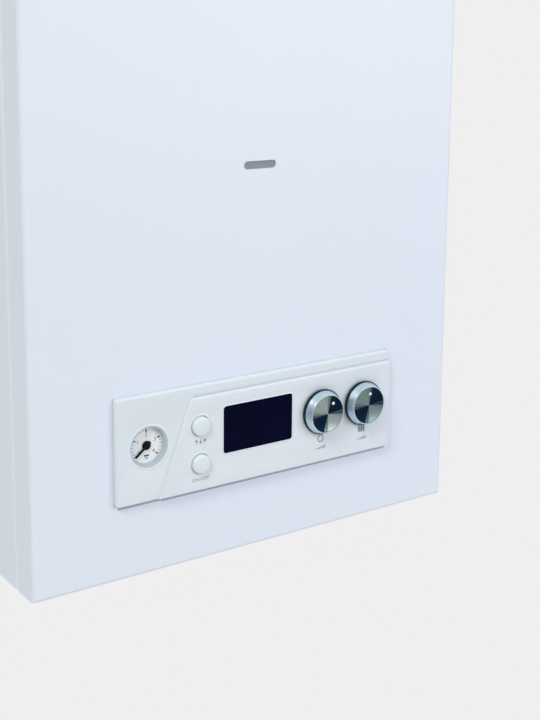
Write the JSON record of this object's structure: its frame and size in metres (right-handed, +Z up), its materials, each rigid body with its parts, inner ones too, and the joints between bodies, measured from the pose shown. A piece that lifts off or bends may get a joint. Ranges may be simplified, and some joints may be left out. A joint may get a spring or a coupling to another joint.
{
  "type": "wall-hung boiler",
  "caption": "White wall-hung gas boiler with a removable front cover and a hinged control box with gauge, buttons, display and knobs.",
  "frame": {"origin": "midway between the two wall bolts, on the wall's plane", "axes": "+Z up, +Y into the wall, the front faces -Y, +X to the right as seen from the front"},
  "size_m": [0.4, 0.317, 0.77],
  "materials": {
    "casing_paint": "white powder coat, glossy",
    "zinc_steel": "galvanised sheet",
    "air_collar_paint": "white enamel",
    "flue_aluminium": "drawn, satin",
    "screw_zinc": "zinc plated",
    "heatproof_glass": "clear, smoky",
    "burner_steel": "stainless, heat tinted",
    "ceramic_board": "fibrous, matt",
    "copper": "copper, satin",
    "brass_cast": "cast and machined",
    "motor_black": "black paint, semi-matt",
    "vessel_red": "red paint, glossy",
    "pump_iron": "painted casting",
    "rotor_plastic": "moulded",
    "tube_silicone": "silicone, translucent white",
    "valve_aluminium": "die cast",
    "black_plastic": "moulded, fine grain",
    "red_plastic": "moulded",
    "tray_grey": "moulded, fine grain",
    "fascia_white": "moulded, satin",
    "display_glass": "tinted window, polished",
    "board_green": "solder resist",
    "plated_plastic": "chrome plated",
    "spun_aluminium": "spun, radial sheen",
    "gauge_glass": "clear, polished"
  },
  "bodies": {
    "root": {"wall_bracket": "zinc_steel", "back_plate": "zinc_steel", "left_side_panel": "casing_paint", "right_side_panel": "casing_paint", "top_plate": "zinc_steel", "bottom_plate": "zinc_steel", "chamber_box": "zinc_steel", "chamber_cover": "zinc_steel", "chamber_screws": "screw_zinc", "chamber_window": "heatproof_glass", "burner": "burner_steel", "gas_manifold": "brass_cast", "firebox": "ceramic_board", "heat_exchanger": "copper", "flue_hood": "zinc_steel", "fan_housing": "zinc_steel", "fan_motor": "motor_black", "flue_spigot": "flue_aluminium", "air_collar": "air_collar_paint", "air_pressure_switch": "rotor_plastic", "pressure_tubes": "tube_silicone", "expansion_vessel": "vessel_red", "copper_pipes": "copper", "pump_body": "pump_iron", "pump_motor": "motor_black", "air_vent": "brass_cast", "plate_heat_exchanger": "burner_steel", "return_block": "brass_cast", "flow_block": "brass_cast", "diverter_motor": "black_plastic", "safety_valve": "brass_cast", "gas_valve": "valve_aluminium", "heating_flow_pipe": "copper", "hot_water_pipe": "copper", "gas_pipe": "copper", "cold_water_pipe": "copper", "heating_return_pipe": "copper", "pipe_nuts": "brass_cast", "cable_gland": "black_plastic"},
    "front_cover": {"front_cover": "casing_paint", "sight_window": "heatproof_glass"},
    "control_box": {"control_tray": "tray_grey", "control_fascia": "fascia_white", "display_window": "display_glass", "circuit_board": "board_green", "gauge_body": "fascia_white", "gauge_lens": "gauge_glass"},
    "set_button": {"set_button": "fascia_white"},
    "power_button": {"power_button": "fascia_white"},
    "left_knob": {"left_knob": "plated_plastic", "left_knob_face": "spun_aluminium"},
    "right_knob": {"right_knob": "plated_plastic", "right_knob_face": "spun_aluminium"},
    "gauge_needle": {"gauge_needle": "black_plastic"},
    "fan_wheel": {"fan_wheel": "flue_aluminium"},
    "pump_rotor": {"pump_rotor": "rotor_plastic"},
    "diverter_stem": {"diverter_stem": "screw_zinc"},
    "safety_valve_knob": {"safety_valve_knob": "red_plastic"},
    "filling_tap_knob": {"filling_tap_knob": "black_plastic"}
  },
  "joints": [
    {"name": "cover_pull", "type": "slide", "parent": "root", "child": "front_cover", "axis": [0, -1, 0], "range_m": [0, 0.4]},
    {"name": "control_box_swing", "type": "hinge", "parent": "root", "child": "control_box", "pos_m": [0, -0.2898, -0.625], "axis": [1, 0, 0], "range_deg": [0, 80]},
    {"name": "left_knob_turn", "type": "hinge", "parent": "control_box", "child": "left_knob", "pos_m": [0.0577, -0.307, -0.5496], "axis": [0, 1, 0], "range_deg": [-135, 135]},
    {"name": "right_knob_turn", "type": "hinge", "parent": "control_box", "child": "right_knob", "pos_m": [0.1011, -0.307, -0.5496], "axis": [0, 1, 0], "range_deg": [-135, 135]},
    {"name": "set_button_press", "type": "slide", "parent": "control_box", "child": "set_button", "axis": [0, 1, 0], "range_m": [0, 0.0012], "stiffness_N_per_m": 800},
    {"name": "power_button_press", "type": "slide", "parent": "control_box", "child": "power_button", "axis": [0, 1, 0], "range_m": [0, 0.0012], "stiffness_N_per_m": 800},
    {"name": "gauge_needle_turn", "type": "hinge", "parent": "control_box", "child": "gauge_needle", "pos_m": [-0.104, -0.3, -0.5501], "axis": [0, 1, 0], "range_deg": [0, 260], "stiffness_Nm_per_rad": 0.0001},
    {"name": "fan_spin", "type": "hinge", "parent": "root", "child": "fan_wheel", "pos_m": [0.032, -0.18, -0.062], "axis": [0, 1, 0], "continuous": true},
    {"name": "pump_spin", "type": "hinge", "parent": "root", "child": "pump_rotor", "pos_m": [0.112, -0.125, -0.523], "axis": [0, 1, 0], "continuous": true},
    {"name": "diverter_lift", "type": "slide", "parent": "root", "child": "diverter_stem", "axis": [0, 0, 1], "range_m": [0, 0.008]},
    {"name": "safety_valve_turn", "type": "hinge", "parent": "root", "child": "safety_valve_knob", "pos_m": [0.068, -0.19, -0.593], "axis": [0, 1, 0], "range_deg": [-90, 0]},
    {"name": "filling_tap_turn", "type": "hinge", "parent": "root", "child": "filling_tap_knob", "pos_m": [0.0975, -0.125, -0.67], "axis": [0, 0, 1], "range_deg": [0, 270]}
  ],
  "couplings": [
    {"joint": "control_box_swing", "follows": "cover_pull", "rad_per_m": 3.49}
  ]
}
